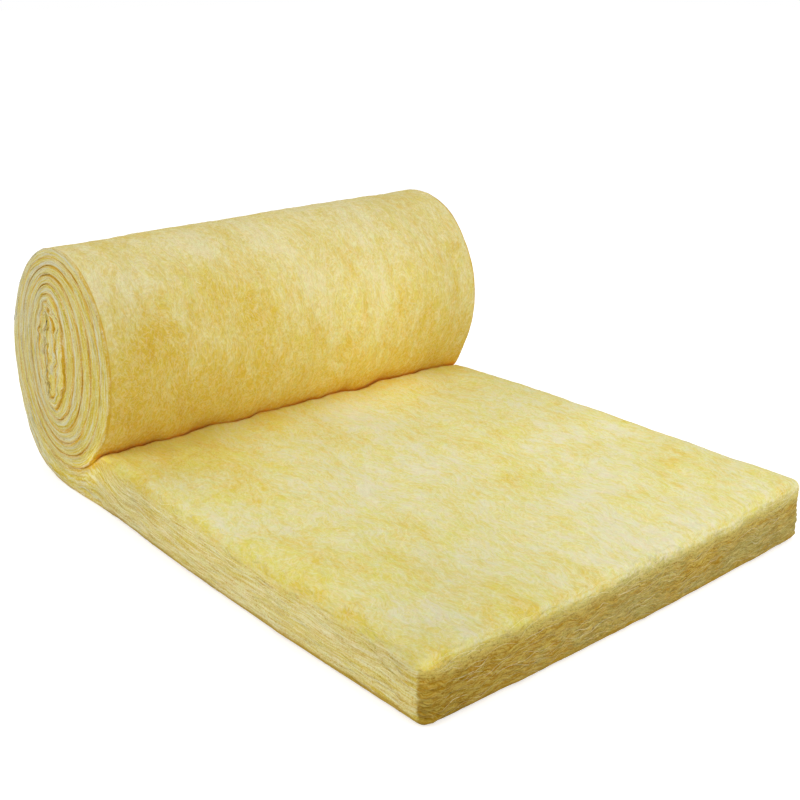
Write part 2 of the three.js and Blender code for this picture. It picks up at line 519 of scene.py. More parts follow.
def layerPhase(along, across, depth, lofted):
    moved = depth + layerWave(along, across, depth)
    wound = depth / thickness * relief["woundLayers"]
    wound += 0.7 * noiseAtPoint(along * 7, across, depth * 12)
    wound += 0.35 * noiseAtPoint(along * 28, across, depth * 30)
    return lofted * moved / relief["layerPitch"] + (1 - lofted) * wound


def coreShare(along, depth):
    turn = np.interp(along, alongAt, turnAt) + depth / thickness
    return clipped((turn - coreTurn) / coreFade + 1)


# How far the skin and the cut faces stand out.
def softRelief(along, across, depth):
    askew = across - relief["shear"] * along * depth / thickness
    height = -relief["pinch"] * pinchAt(along, across, depth)
    for amount, *scale in relief["soft"]:
        height += amount * noiseAtPoint(along * scale[0], askew * scale[1], depth * scale[2])
    if depth < thickness / 2:
        height += relief["wrinkle"] * noiseAtPoint(along * 9, askew * 42, 4.4)
    return height


# How far the surface moves out along its normal and along Y, and whether it lies in a groove.
def reliefAt(along, across, depth, cut, seam, lofted, section):
    height = softRelief(along, across, depth)
    if cut < 0.02:
        return height, 0, 0
    if lofted > 0:
        dent = noiseAtPoint(along * 11, across * 11, 3.3 + depth * 5)
        height += cut * lofted * relief["edgeDent"] * dent * min(1, depth / 0.05)
    phase = layerPhase(along, across, depth, lofted)
    crest = abs(math.sin(math.pi * phase)) ** 0.7
    strength = 1 + 0.8 * noiseAtPoint(along * 12, across * 12, 2 * math.floor(phase))
    step = noiseAtPoint(along * 5, across * 5, 7.7 * math.floor(phase))
    cornerGap = max(along, halfBlanket - abs(across))
    corner = math.exp(-(cornerGap / relief["cornerReach"]) ** 2)
    corner *= lofted * clipped(1.7 - 2 * depth / thickness)
    corner *= 1 if across < 0 else relief["farCorner"]
    plain = 1 if along < 0.01 else relief["sideShare"]
    layer = plain * relief["layer"] + corner * relief["cornerLayer"]
    ridge = layer * strength * (crest - 0.6) + plain * relief["layerStep"] * step
    height += cut * lofted * ridge
    groove = cut * min(1, corner + 0.35 * lofted) * (1 - crest) * strength
    if lofted == 1:
        return height, 0, groove
    wound = 1 - lofted
    turned = noiseAtPoint(along * 1.9, across, 2.5)
    fold = noiseAtPoint(section[0] * 62, across, section[1] * 46)
    fold += 0.5 * noiseAtPoint(section[0] * 130, across, section[1] * 95)
    folded = coreShare(along, depth)
    inside = min(1, min(depth, thickness - depth) / 0.025)
    height += cut * wound * inside * relief["woundLayer"] * strength * (crest - 0.6)
    push = cut * (1 - seam) * relief["turnStep"] * turned + folded * relief["coreFold"] * fold
    push *= wound
    groove += wound * (1.3 * inside * (1 - crest) + folded * max(0, -1.6 * fold))
    return height, math.copysign(push, push * across), groove


# Where the blanket is more golden, or paler: along, across, reach and how much. The laid top
# first, and then the roll's skin, whose places along it are given as turns.
goldenPlaces = {
    "laid": [
        (0.02, -0.58, 0.08, 0.35), (0.03, 0.12, 0.14, -0.2), (0.04, -0.34, 0.07, 0.26),
        (0.06, 0.24, 0.07, -0.16), (0.08, -0.5, 0.08, -0.2), (0.14, -0.42, 0.06, -0.14),
        (0.14, 0.02, 0.18, -0.14), (0.2, -0.24, 0.12, -0.15), (0.22, 0.42, 0.12, 0.14),
        (0.24, -0.46, 0.12, 0.14), (0.24, -0.01, 0.05, 0.16), (0.3, -0.26, 0.1, 0.14),
        (0.35, -0.06, 0.08, -0.12), (0.38, 0.3, 0.08, -0.12), (0.4, -0.47, 0.14, 0.24),
        (0.45, -0.28, 0.12, 0.12), (0.5, 0.1, 0.11, 0.22), (0.55, -0.56, 0.09, 0.16),
        (0.58, 0.42, 0.14, -0.14), (0.6, 0.08, 0.16, -0.12), (0.62, 0.54, 0.09, 0.04),
        (0.66, -0.22, 0.2, -0.16), (0.66, 0.26, 0.08, 0.22), (0.68, -0.38, 0.12, 0.1),
        (0.8, 0.42, 0.1, -0.1), (0.83, -0.47, 0.12, 0.2), (0.92, -0.22, 0.07, -0.12),
        (0.94, 0.28, 0.1, 0.14), (0.98, 0.06, 0.12, -0.18), (1.04, -0.5, 0.14, 0.12),
        (1.05, -0.48, 0.1, 0.16), (1.05, -0.36, 0.13, 0.24), (1.1, 0.18, 0.22, -0.1),
        (1.12, 0.25, 0.1, 0.18), (1.16, -0.1, 0.1, 0.2), (1.18, -0.4, 0.15, 0.32),
        (1.2, -0.56, 0.09, 0.16), (1.2, 0.56, 0.1, 0.26),
    ],
    "roll": [
        (0.55, 0.2, 0.2, -0.1), (0.56, -0.27, 0.1, -0.26), (0.56, -0.05, 0.07, -0.22),
        (0.61, -0.51, 0.07, -0.24), (0.62, 0.5, 0.1, 0.14), (0.635, -0.27, 0.08, 0.34),
        (0.66, 0.02, 0.07, -0.26), (0.68, 0.2, 0.14, -0.14), (0.69, -0.16, 0.08, 0.3),
        (0.7, -0.47, 0.11, 0.34), (0.71, -0.06, 0.05, -0.22), (0.76, 0.39, 0.06, 0.18),
        (0.77, 0.24, 0.12, -0.18), (0.78, -0.57, 0.1, 0.3), (0.8, -0.3, 0.14, 0.22),
        (0.83, -0.54, 0.09, 0.25),
    ],
}
# Patches of painted light and shade, given in the same way; a negative amount is darker.
lightPlaces = {
    "laid": [
        (0.02, -0.58, 0.2, -0.1), (0.1, -0.35, 0.25, -0.05), (0.22, 0.38, 0.35, 0.04),
        (0.28, -0.36, 0.3, -0.04), (0.55, 0.54, 0.15, 0.08), (0.6, 0.25, 0.2, 0.04),
        (1.04, -0.5, 0.16, -0.1), (1.14, -0.12, 0.16, 0.08), (1.14, 0.22, 0.24, 0.16),
        (1.2, 0.22, 0.2, 0.06), (1.2, 0.38, 0.12, 0.14),
    ],
    "roll": [
        (0.51, -0.2, 0.35, -0.06), (0.51, 0.3, 0.4, -0.1), (0.66, -0.56, 0.16, -0.06),
        (0.66, -0.1, 0.5, 0.06), (0.68, 0.2, 0.5, 0.08), (0.7, 0.26, 0.18, 0.05),
        (0.8, 0.22, 0.26, 0.1),
    ],
}


woolTones = {
    "warmth": 0.32,  # how golden the wool is where it is plainest
    "nipShadeWarmth": 0.25,  # painted shade: more golden on the laid top by the crease, and how far from it
    "nipShadeWarmReach": 0.17,
    "skinShadeWarmth": 0.45,  # more golden on the roll's skin by the crease, as painted shade, and up its front
    "skinShadeWarmReach": 0.06,
    "frontWarmth": 0.45,
    "nipLight": 0.26,  # painted light: little light gets into the crease, so the wool by it is made lighter
    "nipLightReach": 0.09,
    "skinLight": 0.34,
    "skinLightReach": 0.07,
    # the grooves: more golden, partly the layers' own lines and partly painted shade, and darker by
    # painted shade
    "grooveWarmth": 0.9,
    "grooveShade": 0.06,
    "sideWarmth": 0.22,  # the laid part's cut sides, with painted shade over them
    "sideShade": 0.05,
    "endShade": 0.06,  # painted shade on the cut end, most by its near corner low down
    "lowShade": 0.17,
    # painted light along the cut end's top and its near upright edge
    "topLight": 0.06,
    "cornerLight": 0.09,
    "turnWarmth": 0.4,  # the roll's ends are most golden at its front, with painted shade over them,
    "turnShade": 0.04,
    "coreWarmth": 0.12,  # and their core is paler, with painted light over it and its seams
    "coreLight": 0.06,
    "coreSeamLight": 0.3,
    "patchFall": 1.4,
}


def patchesAt(patches, place):
    along, across, depth = place[:, 0], place[:, 1], place[:, 2]
    inner = smooth(depth / thickness, 0.3, 0.7)
    total = np.zeros(len(place))
    for where, share in (("laid", inner), ("roll", 1 - inner)):
        for first, y, reach, amount in patches[where]:
            x = first if where == "laid" else np.interp(first, turnAt, alongAt)
            gap = ((along - x) ** 2 + (across - y) ** 2) / reach ** 2
            total += share * amount * np.exp(-gap * woolTones["patchFall"])
    return total


# From 1 at a place along the blanket down to 0 away from it.
def closeTo(along, target, reach):
    return np.exp(-np.abs(target - along) / woolTones[reach])


# How golden the wool is, with painted shade by the crease on both sides of it.
def warmthAt(place):
    along, depth = place[:, 0], place[:, 2]
    inner = smooth(depth / thickness, 0.3, 0.7)
    turn = np.interp(along, alongAt, turnAt)
    skin = woolTones["skinShadeWarmth"] * closeTo(along, creaseAlong, "skinShadeWarmReach")
    skin += woolTones["frontWarmth"] * smooth(turn, 0.56, creaseTurn) * (along > nipAlong)
    laid = woolTones["nipShadeWarmth"] * closeTo(along, nipAlong, "nipShadeWarmReach")
    return woolTones["warmth"] + inner * laid + (1 - inner) * skin + patchesAt(goldenPlaces, place)


# Painted light and shade: lighter by the crease, where little light gets in, and in patches.
def lightAt(place):
    along, depth = place[:, 0], place[:, 2]
    inner = smooth(depth / thickness, 0.3, 0.7)
    laid = woolTones["nipLight"] * closeTo(along, nipAlong, "nipLightReach")
    skin = woolTones["skinLight"] * closeTo(along, creaseAlong, "skinLightReach")
    return 1 + inner * laid + (1 - inner) * skin + patchesAt(lightPlaces, place)


# Masks for the material: cut face, warmth and loft, and then seam, cut end and lightness.
# The lightness is painted light and shade, a factor on the wool's colour.
def toneLayers(place, cutFace, seam, groove):
    along, across, depth = place[:, 0], place[:, 1], place[:, 2]
    lofted = 1 - smooth(along, *loftEnds)
    cut = smooth(cutFace, 0.1, 0.9)
    # golden and darker in the grooves: partly the layers' own lines, partly painted shade
    warmth = warmthAt(place) + woolTones["grooveWarmth"] * groove
    light = lightAt(place) - woolTones["grooveShade"] * groove * lofted
    endTone = 1 - smooth(along, 0.004, 0.03)
    side = cut * lofted * (1 - endTone)
    warmth += woolTones["sideWarmth"] * side
    # painted shade on the laid part's cut sides, more towards the roll and low down by the floor
    towardsRoll = 0.06 * smooth(along, 0.7, 1.1)
    light -= side * (woolTones["sideShade"] + towardsRoll + 0.03 * smooth(depth, 0.05, 0.02))
    # the cut end is golden by its near corner; painted shade darkens it, most low down by
    # that corner, and painted light lies along its top and its near upright edge
    near = smooth(-across, 0.25, 0.58)
    light -= woolTones["lowShade"] * endTone * near * smooth(depth, 0.12, 0.04)
    end = endTone * cut
    top = woolTones["topLight"] * (1 + near) * smooth(depth, 0.06, 0.12)
    light += end * (top - woolTones["endShade"])
    cornerEdge = smooth(-across, 0.53, 0.585) * smooth(depth, 0.03, 0.08)
    light += woolTones["cornerLight"] * end * cornerEdge
    nearWarmth = 0.6 * smooth(-across, 0, 0.5) + 0.5 * smooth(-across, 0.34, 0.5)
    nearWarmth += 0.4 * np.exp(-((across + 0.40) / 0.13) ** 2)
    warmth += end * smooth(thickness - depth, 0.01, 0.04) * nearWarmth
    wound = cut * (1 - lofted)
    warmth += woolTones["turnWarmth"] * wound * frontness(along)
    turn = np.interp(along, alongAt, turnAt) + depth / thickness
    core = smooth(turn, coreTurn - coreFade, coreTurn)
    warmth -= woolTones["coreWarmth"] * wound * core
    # painted light over the core and its seams, and painted shade over the roll's ends
    light += core * (woolTones["coreLight"] * wound + woolTones["coreSeamLight"] * seam)
    light -= woolTones["turnShade"] * wound
    return np.stack([cut, warmth, lofted], -1), np.stack([seam, endTone, light], -1)


def writeLayer(mesh, name, values):
    layer = mesh.attributes.get(name) or mesh.attributes.new(name, "FLOAT_VECTOR", "POINT")
    layer.data.foreach_set("vector", np.asarray(values, dtype=np.float32).ravel())


def addRelief(piece):
    mesh = piece.data
    normals = np.array([v.vector for v in mesh.vertex_normals])
    place = np.array([v.vector for v in mesh.attributes["laidPlace"].data])
    cut = np.array([v.value for v in mesh.attributes["cutFace"].data])
    seam = np.array([v.value for v in mesh.attributes["seam"].data])
    facing = np.maximum(np.abs(normals[:, 1]), normals[:, 0] * (place[:, 0] < 0.05))
    cutAway = cut * smooth(facing, 0.4, 0.95)
    thin = np.interp(place[:, 0], alongAt, np.linalg.norm(outerFace - innerFace, axis=1))
    thin = np.clip(thin / roll["woundThickness"], 0, 1)
    groove = np.zeros(len(place))
    for i, vert in enumerate(mesh.vertices):
        along, across, depth = place[i]
        lofted = clipped((loftEnds[1] - along) / (loftEnds[1] - loftEnds[0]))
        section = (vert.co.x, vert.co.z)
        height, push, groove[i] = reliefAt(along, across, depth, cutAway[i], seam[i], lofted, section)
        calm = clipped(vert.co.z / 0.02) if normals[i][2] < -0.4 else 1  # flat on the floor
        moved = vert.co + Vector(normals[i]) * height * calm * thin[i]
        moved.y += push
        moved.z = max(moved.z, 0)
        vert.co = moved
    first, second = toneLayers(place, cut, seam, groove)
    writeLayer(mesh, "faceTone", first)
    writeLayer(mesh, "cutTone", second)
    mesh.update()


woolBlanket = buildBlanket()
addRelief(woolBlanket)
print("relief added,", sum(len(p.vertices) - 2 for p in woolBlanket.data.polygons), "triangles")


def linear(red, green, blue):
    def channel(value):
        value /= 255
        return value / 12.92 if value < 0.04045 else ((value + 0.055) / 1.055) ** 2.4
    return (channel(red), channel(green), channel(blue), 1)


def addNode(tree, kind, inputs=None, **settings):
    item = tree.nodes.new(kind)
    for name, value in settings.items():
        setattr(item, name, value)
    for name, value in (inputs or {}).items():
        socket = item.inputs[name]
        if isinstance(value, bpy.types.NodeSocket):
            tree.links.new(value, socket)
        else:
            socket.default_value = value
    return item


def maths(tree, operation, *values, clamp=False):
    return addNode(tree, "ShaderNodeMath", dict(enumerate(values)), operation=operation,
                   use_clamp=clamp).outputs[0]


def times(tree, first, second, clamp=False):
    return maths(tree, "MULTIPLY", first, second, clamp=clamp)


def timesPlus(tree, first, second, added):
    return maths(tree, "MULTIPLY_ADD", first, second, added)


def minus(tree, first, second, clamp=False):
    return maths(tree, "SUBTRACT", first, second, clamp=clamp)


# A noise lies round 0.5: centred brings it round 0, and nudged adds an amount of it to a base.
def centred(tree, value):
    return minus(tree, value, 0.5)


def nudged(tree, base, value, amount):
    return timesPlus(tree, centred(tree, value), amount, base)


def axes(tree, vector):
    return addNode(tree, "ShaderNodeSeparateXYZ", {0: vector}).outputs


def joined(tree, *values):
    return addNode(tree, "ShaderNodeCombineXYZ", dict(enumerate(values))).outputs[0]


def vectors(tree, operation, *values):
    return addNode(tree, "ShaderNodeVectorMath", dict(enumerate(values)),
                   operation=operation).outputs[0]


def noiseAt(tree, vector, scale, detail=3, rough=0.6, distortion=0.0, output=0):
    return addNode(tree, "ShaderNodeTexNoise", {
        "Vector": vectors(tree, "MULTIPLY", vector, scale), "Scale": 1.0, "Detail": detail,
        "Roughness": rough, "Distortion": distortion}).outputs[output]


def ranged(tree, value, low, high, toLow=0.0, toHigh=1.0):
    return addNode(tree, "ShaderNodeMapRange", {
        "Value": value, "From Min": low, "From Max": high, "To Min": toLow, "To Max": toHigh},
        interpolation_type="SMOOTHSTEP").outputs[0]


def blended(tree, factor, first, second, kind="MIX"):
    return addNode(tree, "ShaderNodeMix", {0: factor, 6: first, 7: second},
                   data_type="RGBA", blend_type=kind).outputs[2]


def mixed(tree, factor, first, second):
    return addNode(tree, "ShaderNodeMix", {0: factor, 2: first, 3: second}).outputs[0]


def scaled(tree, colour, factor):
    item = addNode(tree, "ShaderNodeVectorMath", {0: colour}, operation="SCALE")
    tree.links.new(factor, item.inputs["Scale"])
    return item.outputs[0]


# Noises by name, each with how fine it is along, across and through the blanket, and then its
# detail, roughness and distortion.
def noisesAt(tree, vector, kinds):
    return {name: noiseAt(tree, vector, *settings) for name, settings in kinds.items()}


# Thin lines wherever either of two noises crosses its middle value.
def hairLines(tree, *noisesAndWidths):
    lines = []
    for value, width in noisesAndWidths:
        gap = maths(tree, "ABSOLUTE", centred(tree, value))
        lines.append(ranged(tree, gap, width, 0.0))
    return maths(tree, "MAXIMUM", *lines)


colourAndHeight = {"Colour": "Color", "Height": "Float"}


# A node group, with the kinds of its inputs and outputs by name.
def newGroup(name, inputs, outputs=colourAndHeight):
    tree = bpy.data.node_groups.new(name, "ShaderNodeTree")
    for way, sockets in (("INPUT", inputs), ("OUTPUT", outputs)):
        for title, kind in sockets.items():
            tree.interface.new_socket(title, in_out=way, socket_type="NodeSocket" + kind)
    return tree, tree.nodes.new("NodeGroupInput").outputs, tree.nodes.new("NodeGroupOutput").inputs


# Red, green and blue of the wool, from 0 to 255.
woolColours = {
    "laidPale": (228, 221, 184),
    "laidCream": (226, 218, 150),
    "laidLemon": (225, 212, 96),
    "laidGold": (225, 200, 84),
    "rollPale": (229, 217, 162),
    "rollCream": (225, 210, 137),
    "rollLemon": (220, 201, 94),
    "rollGold": (217, 186, 70),
    "deepGold": (208, 170, 44),
    "wisp": (240, 235, 196),
    "shade": (192, 152, 28),
    "cutCream": (226, 217, 158),
    "cutGold": (214, 192, 74),
    "woundCream": (208, 208, 180),
    "woundGold": (212, 191, 60),
    "woundLine": (208, 162, 16),
    "woundWisp": (224, 222, 188),
    # the cut end is darker and browner: partly its own cut wool, partly painted shade
    "endCream": (168, 152, 78),
    "endGold": (173, 130, 15),
    "endLemon": (206, 195, 114),
    "endWisp": (204, 188, 112),
    "endGlow": (212, 185, 74),
    "endShade": (134, 100, 8),
    "seamGold": (232, 194, 46),
    "coreShade": (224, 203, 84),
    # painted shade along the lower edge of the cut faces
    "bottomShadeGold": (176, 140, 14),
    # painted shade in and beside the crease
    "creaseShadeGold": (204, 154, 4),
    "creaseShadeLemon": (212, 207, 84),
    "creaseShadeBrown": (220, 152, 8),
}
colours = {name: linear(*shown) for name, shown in woolColours.items()}


# The felted skin: soft patches, clumps and hairs that wander along the blanket, cream to gold.
skinLook = {
    "slant": 0.12,  # the laid top's fibres run askew
    "wander": (((4, 5, 5), (0.10, 0.10, 0.04)), ((19, 22, 22), (0.026, 0.026, 0.01))),
    "noises": {
        "patch": ((5, 9, 7), 3, 0.55),
        "cloud": ((16, 29, 22), 3, 0.6, 0.3),
        "hue": ((7, 14, 12), 3, 0.6),
        "longHair": ((18, 44, 40), 2, 0.5),
        "shortHair": ((50, 90, 80), 2, 0.5, 0.6),
        "longGap": ((36, 80, 80), 2, 0.5, 0.6),
        "shortGap": ((70, 60, 60), 1, 0.5, 0.8),
    },
    "laidDraw": (0.8, 1.3),  # the laid top's tufts are drawn out along the blanket
    "combedNoises": {
        "streak": ((46, 74, 66), 3, 0.65, 0.6),
        "fibre": ((105, 170, 155), 4, 0.7, 0.8),
        "speck": ((170, 310, 280), 2, 0.7, 0.9),
    },
    # how golden each noise makes the wool, on the roll and on the laid top
    "grain": (0.45, 0.12),
    "patch": (1.2, 0.95),
    "cloud": (1.1, 1.15),
    "flake": (0.20, 0.22),
    "tight": (1.0, 0.6),  # the roll's skin is drawn tight and looks grainier
    # how much painted shade lies in the dark lines between fibres
    "gapShare": (0.16, 0.05),
    "grainDepth": 0.8,
}


def woolSkinGroup():
    tree, given, made = newGroup("woolSkin", {"Place": "Vector", "Warmth": "Float"})
    warmth = given["Warmth"]
    along, across, depth = axes(tree, given["Place"])
    inner = ranged(tree, depth, 0.4 * thickness, 0.6 * thickness)
    slant = times(tree, times(tree, along, depth), -skinLook["slant"] / thickness)
    askew = joined(tree, along, maths(tree, "ADD", across, slant), depth)
    place = askew
    for scale, reach in skinLook["wander"]:
        swing = noiseAt(tree, askew, scale, 1, output="Color")
        swing = vectors(tree, "SUBTRACT", swing, (0.5, 0.5, 0.5))
        place = vectors(tree, "MULTIPLY_ADD", swing, reach, place)
    draw = [mixed(tree, inner, 1.0, share) for share in skinLook["laidDraw"]]
    combed = vectors(tree, "MULTIPLY", place, joined(tree, *draw, 1.0))
    noises = noisesAt(tree, place, skinLook["noises"])
    noises.update(noisesAt(tree, combed, skinLook["combedNoises"]))
    fibre, speck = noises["fibre"], noises["speck"]
    hairs = hairLines(tree, (noises["longHair"], 0.03), (noises["shortHair"], 0.06))
    gaps = hairLines(tree, (noises["shortGap"], 0.05), (noises["longGap"], 0.04))

    grainy = nudged(tree, times(tree, centred(tree, fibre), 1.3), speck, 0.8)
    golden = timesPlus(tree, grainy, mixed(tree, inner, *skinLook["grain"]), warmth)
    noises["flake"] = ranged(tree, noises["streak"], 0.40, 0.60)  # crisp edges
    for name in ("patch", "cloud", "flake"):
        golden = nudged(tree, golden, noises[name], mixed(tree, inner, *skinLook[name]))
    pale, cream, lemon, gold = (
        blended(tree, inner, colours["roll" + name], colours["laid" + name])
        for name in ("Pale", "Cream", "Lemon", "Gold"))
    accent = blended(tree, ranged(tree, noises["hue"], 0.4, 0.6), lemon, gold)
    strong = times(tree, ranged(tree, warmth, 0.45, 0.85), mixed(tree, inner, 1.0, 0.2))
    accent = blended(tree, strong, accent, gold)
    colour = blended(tree, ranged(tree, golden, -0.1, 0.35), pale, cream)
    colour = blended(tree, ranged(tree, golden, 0.15, 0.85), colour, accent)
    colour = blended(tree, ranged(tree, golden, 0.8, 1.5, 0, 0.9), colour, colours["deepGold"])
    hairShare = times(tree, hairs, ranged(tree, golden, 0.2, 1.2, 0.34, 0.22))
    colour = blended(tree, hairShare, colour, colours["wisp"])
    # painted shade in the dark lines between the fibres
    gapShare = times(tree, gaps, mixed(tree, inner, *skinLook["gapShare"]))
    colour = blended(tree, gapShare, colour, colours["shade"])

    tight = mixed(tree, inner, *skinLook["tight"])
    grain = times(tree, centred(tree, fibre), 0.85)
    grain = nudged(tree, grain, speck, mixed(tree, inner, 0.5, 0.3))
    grain = times(tree, grain, times(tree, tight, skinLook["grainDepth"]))
    shaded = times(tree, grain, ranged(tree, golden, 0.0, 0.6, -0.7, -1.7), clamp=True)
    colour = blended(tree, shaded, colour, colours["shade"])
    colour = blended(tree, times(tree, grain, 1.0, clamp=True), colour, colours["wisp"])
    colour = scaled(tree, colour, timesPlus(tree, grain, 0.4, 1.0))
    tree.links.new(colour, made["Colour"])

    height = times(tree, noises["streak"], 0.6)
    for part, amount in ((fibre, 0.8), (speck, 0.3)):
        height = timesPlus(tree, part, amount, height)
    height = times(tree, height, tight)
    for part, amount in ((noises["cloud"], 0.5), (hairs, 0.05)):
        height = timesPlus(tree, part, amount, height)
    tree.links.new(height, made["Height"])
    return tree


# The layers that show where the blanket is cut; pressed together where it is wound.
cutLook = {
    "run": (0.45, 0.85),  # layers are long: how they are drawn out along and across
    # how fine the layers wander, and how far: where it is wound, at the sides and at the cut end
    "waves": ((12, 0.014, 0.008, 0.036), (38, 0.009, 0.003, 0.014), (95, 0.003, 0.0015, 0.007)),
    "noises": {
        "layer": ((15, 15, 200), 3, 0.55),
        "band": ((7, 7, 62), 3, 0.6),
        "fibre": ((40, 40, 340), 2, 0.6),
        "longThread": ((11, 11, 85), 1, 0.5),
        "shortThread": ((20, 20, 150), 1, 0.5),
    },
    "patchNoise": ((7, 7, 11), 3, 0.6),
    "fuzzNoise": ((200, 200, 240), 3, 0.7, 0.6),
    # how golden each noise makes the wool, where it is wound and where it is lofted
    "patch": (0.8, 1.3),
    "endPatch": 2.6,
    "band": (2.4, 0.7),
    "layer": (3.0, 1.9),
    "fibre": (1.6, 2.0),
    "fuzz": (2.0, 1.3),
    "seamLine": (0.030, 0.012),  # from where to where the golden line fades in
    "seamLineWave": 0.035,
    "grainDark": 3.6,
    "grainLight": 2.6,
}


def cutLayersGroup():
    tree, given, made = newGroup("cutLayers", {"Place": "Vector", "Loft": "Float",
                                               "End": "Float", "Warmth": "Float"})
    loft, isEnd = given["Loft"], given["End"]
    along, across, through = axes(tree, given["Place"])
    # where the blanket is wound its layers are pressed together, and run on for longer
    press = mixed(tree, loft, 1.5 * roll["woundThickness"] / thickness, 1.0)
    depth = times(tree, through, press)
    flat = joined(tree, along, across, depth)
    for scale, wound, side, end in cutLook["waves"]:
        wave = noiseAt(tree, flat, (scale, scale, scale), 1)
        amount = mixed(tree, loft, wound, mixed(tree, isEnd, side, end))
        depth = nudged(tree, depth, wave, amount)
    runAlong, runAcross = cutLook["run"]
    bent = joined(tree, times(tree, along, runAlong), times(tree, across, runAcross), depth)
    noises = noisesAt(tree, bent, cutLook["noises"])
    noises["patch"] = noiseAt(tree, given["Place"], *cutLook["patchNoise"])
    noises["fuzz"] = noiseAt(tree, flat, *cutLook["fuzzNoise"])
    fibre, fuzz, band = noises["fibre"], noises["fuzz"], noises["band"]
    thread = hairLines(tree, (noises["longThread"], 0.10), (noises["shortThread"], 0.12))

    # the cut end is most golden in its upper half
    upper = ranged(tree, through, 0.2 * thickness, 0.75 * thickness, -0.05, 0.25)
    golden = timesPlus(tree, given["Warmth"], 0.5, times(tree, upper, isEnd))
    for name in ("patch", "band", "layer", "fibre", "fuzz"):
        wound, lofted = cutLook[name]
        if name == "patch":
            lofted = mixed(tree, isEnd, lofted, cutLook["endPatch"])
        golden = nudged(tree, golden, noises[name], mixed(tree, loft, wound, lofted))
    share = ranged(tree, golden, -0.35, 0.8)
    side, wound, end = (blended(tree, share, colours[kind + "Cream"], colours[kind + "Gold"])
                        for kind in ("cut", "wound", "end"))
    side = blended(tree, loft, wound, side)
    fade = nudged(tree, through, noises["patch"], 0.05)
    fade = nudged(tree, fade, fuzz, 0.04)
    fade = ranged(tree, fade, thickness - 0.056, thickness - 0.022, 0, 0.85)
    end = blended(tree, fade, end, colours["endLemon"])
    # a golden line on both sides of each seam of the roll
    gap = maths(tree, "MINIMUM", through, minus(tree, thickness, through))
    gap = nudged(tree, gap, band, cutLook["seamLineWave"])
    line = times(tree, ranged(tree, gap, *cutLook["seamLine"]),
                 minus(tree, 0.95, loft, clamp=True))
    line = times(tree, line, ranged(tree, given["Warmth"], 0.0, 0.8, 0.55, 1.0))
    outermost = ranged(tree, along, creaseAlong, creaseAlong - 0.04, 0, 0.4)
    line = times(tree, line, minus(tree, 1.0, outermost))
    side = blended(tree, line, side, colours["woundLine"])
    colour = blended(tree, isEnd, side, end)
    light = blended(tree, loft, colours["woundWisp"], colours["wisp"])
    glow = blended(tree, ranged(tree, golden, 0.2, 1.0, 0.0, 0.6), colours["endWisp"],
                   colours["endGlow"])
    light = blended(tree, isEnd, light, glow)
    pale = times(tree, thread, ranged(tree, fibre, 0.35, 0.65, 0.15, 0.6))
    pale = times(tree, pale, mixed(tree, isEnd, mixed(tree, loft, 0.6, 0.8), 1.3))
    colour = blended(tree, pale, colour, light)
    dark = blended(tree, isEnd, colours["shade"], colours["endShade"])
    grain = nudged(tree, times(tree, centred(tree, fibre), 0.6), fuzz, 0.7)
    grain = times(tree, grain, mixed(tree, isEnd, 1.35, 1.0))
    for amount, tone in ((-cutLook["grainDark"], dark), (cutLook["grainLight"], light)):
        colour = blended(tree, times(tree, grain, amount, clamp=True), colour, tone)
    tree.links.new(colour, made["Colour"])

    height = timesPlus(tree, noises["layer"], 0.7, times(tree, band, 0.6))
    for part, amount in ((fuzz, 0.5), (thread, 0.12), (fibre, 0.4)):
        height = timesPlus(tree, part, amount, height)
    coarse = mixed(tree, loft, 0.8, mixed(tree, isEnd, 0.4, 1.0))
    tree.links.new(times(tree, height, coarse), made["Height"])
    return tree


# Painted shade in and by the crease: brown deep in it, and golden wool on both sides of it.
# Reaches and shares are those of the roll's skin and of the laid top.
creaseLook = {
    "raggedNoise": ((22, 34, 10), 4, 0.65),
    "woollyNoise": ((75, 120, 90), 4, 0.7, 0.6),
    "goldenReach": (0.11, 0.14),
    "goldenShare": (0.8, 0.45),
    "brownReach": 0.046,
    "brownShare": (0.9, 0.4),
}


def creaseShadeToneGroup():
    tree, given, made = newGroup("creaseShadeTone", {"Place": "Vector", "Colour": "Color"},
                                 {"Colour": "Color"})
    along, _, depth = axes(tree, given["Place"])
    inner = ranged(tree, depth, 0.4 * thickness, 0.6 * thickness)
    gap = minus(tree, along, mixed(tree, inner, creaseAlong, nipAlong))
    ragged = noiseAt(tree, given["Place"], *creaseLook["raggedNoise"])
    gap = nudged(tree, maths(tree, "ABSOLUTE", gap), ragged, 0.06)
    woolly = centred(tree, noiseAt(tree, given["Place"], *creaseLook["woollyNoise"]))
    golden = ranged(tree, timesPlus(tree, woolly, 0.16, gap),
                    mixed(tree, inner, *creaseLook["goldenReach"]), 0.03)
    golden = times(tree, golden, mixed(tree, inner, *creaseLook["goldenShare"]))
    golden = times(tree, golden, ranged(tree, woolly, -0.12, 0.16, 1.0, 0.35))
    gold = blended(tree, inner, colours["creaseShadeGold"], colours["creaseShadeLemon"])
    colour = blended(tree, golden, given["Colour"], gold)
    brown = ranged(tree, gap, creaseLook["brownReach"], 0.026)
    brown = times(tree, brown, mixed(tree, inner, *creaseLook["brownShare"]))
    colour = blended(tree, brown, colour, colours["creaseShadeBrown"])
    tree.links.new(colour, made["Colour"])
    return tree


woolSkin = woolSkinGroup()
cutLayers = cutLayersGroup()
creaseShadeTone = creaseShadeToneGroup()


def placedGroup(tree, group, links):
    item = tree.nodes.new("ShaderNodeGroup")
    item.node_tree = group
    for name, value in links.items():
        tree.links.new(value, item.inputs[name])
    return item.outputs


